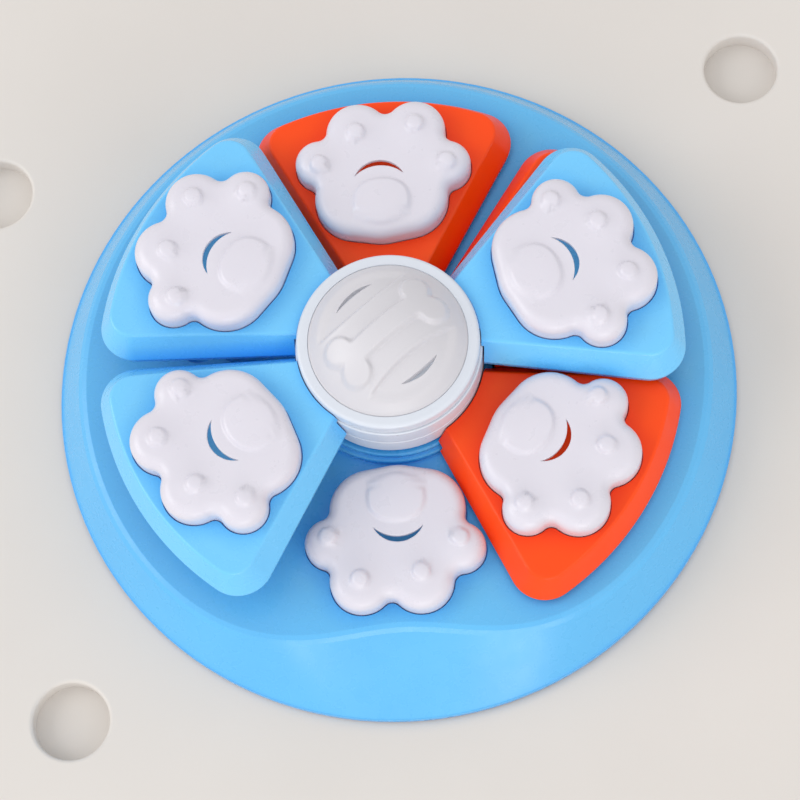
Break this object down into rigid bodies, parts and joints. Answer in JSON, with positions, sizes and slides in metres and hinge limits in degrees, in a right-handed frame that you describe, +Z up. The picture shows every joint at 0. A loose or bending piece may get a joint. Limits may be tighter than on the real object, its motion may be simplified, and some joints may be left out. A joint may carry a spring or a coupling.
{
  "type": "dog puzzle feeder toy",
  "caption": "Round slow-feeder puzzle for dogs: a tray with paw-shaped wells under turning leaves in two tiers, white paw lids and a centre lid with a raised bone.",
  "frame": {"origin": "centre of the footprint on the floor, under the spindle", "axes": "+Z up along the spindle; -Y towards the scooped front of the tray"},
  "size_m": [0.28, 0.28, 0.078],
  "materials": {
    "tray_blue": "satin moulded plastic",
    "leaf_blue": "satin moulded plastic",
    "leaf_orange": "satin moulded plastic",
    "lid_white": "satin moulded plastic",
    "ring_white": "satin moulded plastic",
    "inner_white": "matte moulded plastic",
    "foot_rubber": "matte rubber",
    "screw_steel": "zinc-plated steel"
  },
  "bodies": {
    "base": {"base_tray": "tray_blue", "tray_cup_front": "tray_blue", "tray_cup_right_front": "tray_blue", "tray_cup_right_back": "tray_blue", "tray_cup_back": "tray_blue", "tray_cup_left_back": "tray_blue", "tray_cup_left_front": "tray_blue", "foot_ribs": "tray_blue", "rubber_feet": "foot_rubber", "spindle": "inner_white", "spindle_screws": "screw_steel", "retaining_washer": "screw_steel", "retaining_screw": "screw_steel"},
    "lower_rotor": {"lower_hub_ring": "ring_white", "orange_leaf_back": "leaf_orange", "orange_leaf_back_cup": "leaf_orange", "orange_leaf_middle": "leaf_orange", "orange_leaf_middle_cup": "leaf_orange", "orange_leaf_front": "leaf_orange", "orange_leaf_front_cup": "leaf_orange", "orange_leaf_screws": "screw_steel"},
    "middle_rotor": {"middle_hub_ring": "ring_white", "blue_leaf_left_back": "leaf_blue", "blue_leaf_left_back_cup": "leaf_blue", "blue_leaf_left_front": "leaf_blue", "blue_leaf_left_front_cup": "leaf_blue", "middle_leaf_screws": "screw_steel"},
    "upper_rotor": {"upper_hub_ring": "ring_white", "blue_leaf_right": "leaf_blue", "blue_leaf_right_cup": "leaf_blue", "upper_leaf_screws": "screw_steel"},
    "bone_lid": {"bone_lid": "lid_white"},
    "paw_lid_back": {"paw_lid_back": "lid_white"},
    "paw_lid_right_front": {"paw_lid_right_front": "lid_white"},
    "paw_lid_left_back": {"paw_lid_left_back": "lid_white"},
    "paw_lid_left_front": {"paw_lid_left_front": "lid_white"},
    "paw_lid_right": {"paw_lid_right": "lid_white"},
    "paw_lid_front": {"paw_lid_front": "lid_white"}
  },
  "joints": [
    {"name": "lower_turn", "type": "hinge", "parent": "base", "child": "lower_rotor", "pos_m": [0, 0, 0.0385], "axis": [0, 0, 1], "range_deg": [0, 119]},
    {"name": "middle_turn", "type": "hinge", "parent": "lower_rotor", "child": "middle_rotor", "pos_m": [0, 0, 0.0486], "axis": [0, 0, 1], "range_deg": [-4, 57]},
    {"name": "upper_turn", "type": "hinge", "parent": "lower_rotor", "child": "upper_rotor", "pos_m": [0, 0, 0.055], "axis": [0, 0, 1], "range_deg": [-0.7, 14]},
    {"name": "bone_lid_lift", "type": "slide", "parent": "upper_rotor", "child": "bone_lid", "axis": [0, 0, 1], "range_m": [0, 0.025]},
    {"name": "paw_lid_back_lift", "type": "slide", "parent": "lower_rotor", "child": "paw_lid_back", "axis": [0, 0, 1], "range_m": [0, 0.025]},
    {"name": "paw_lid_right_front_lift", "type": "slide", "parent": "lower_rotor", "child": "paw_lid_right_front", "axis": [0, 0, 1], "range_m": [0, 0.025]},
    {"name": "paw_lid_left_back_lift", "type": "slide", "parent": "middle_rotor", "child": "paw_lid_left_back", "axis": [0, 0, 1], "range_m": [0, 0.025]},
    {"name": "paw_lid_left_front_lift", "type": "slide", "parent": "middle_rotor", "child": "paw_lid_left_front", "axis": [0, 0, 1], "range_m": [0, 0.025]},
    {"name": "paw_lid_right_lift", "type": "slide", "parent": "upper_rotor", "child": "paw_lid_right", "axis": [0, 0, 1], "range_m": [0, 0.025]},
    {"name": "paw_lid_front_lift", "type": "slide", "parent": "base", "child": "paw_lid_front", "axis": [0, 0, 1], "range_m": [0, 0.0042]}
  ]
}
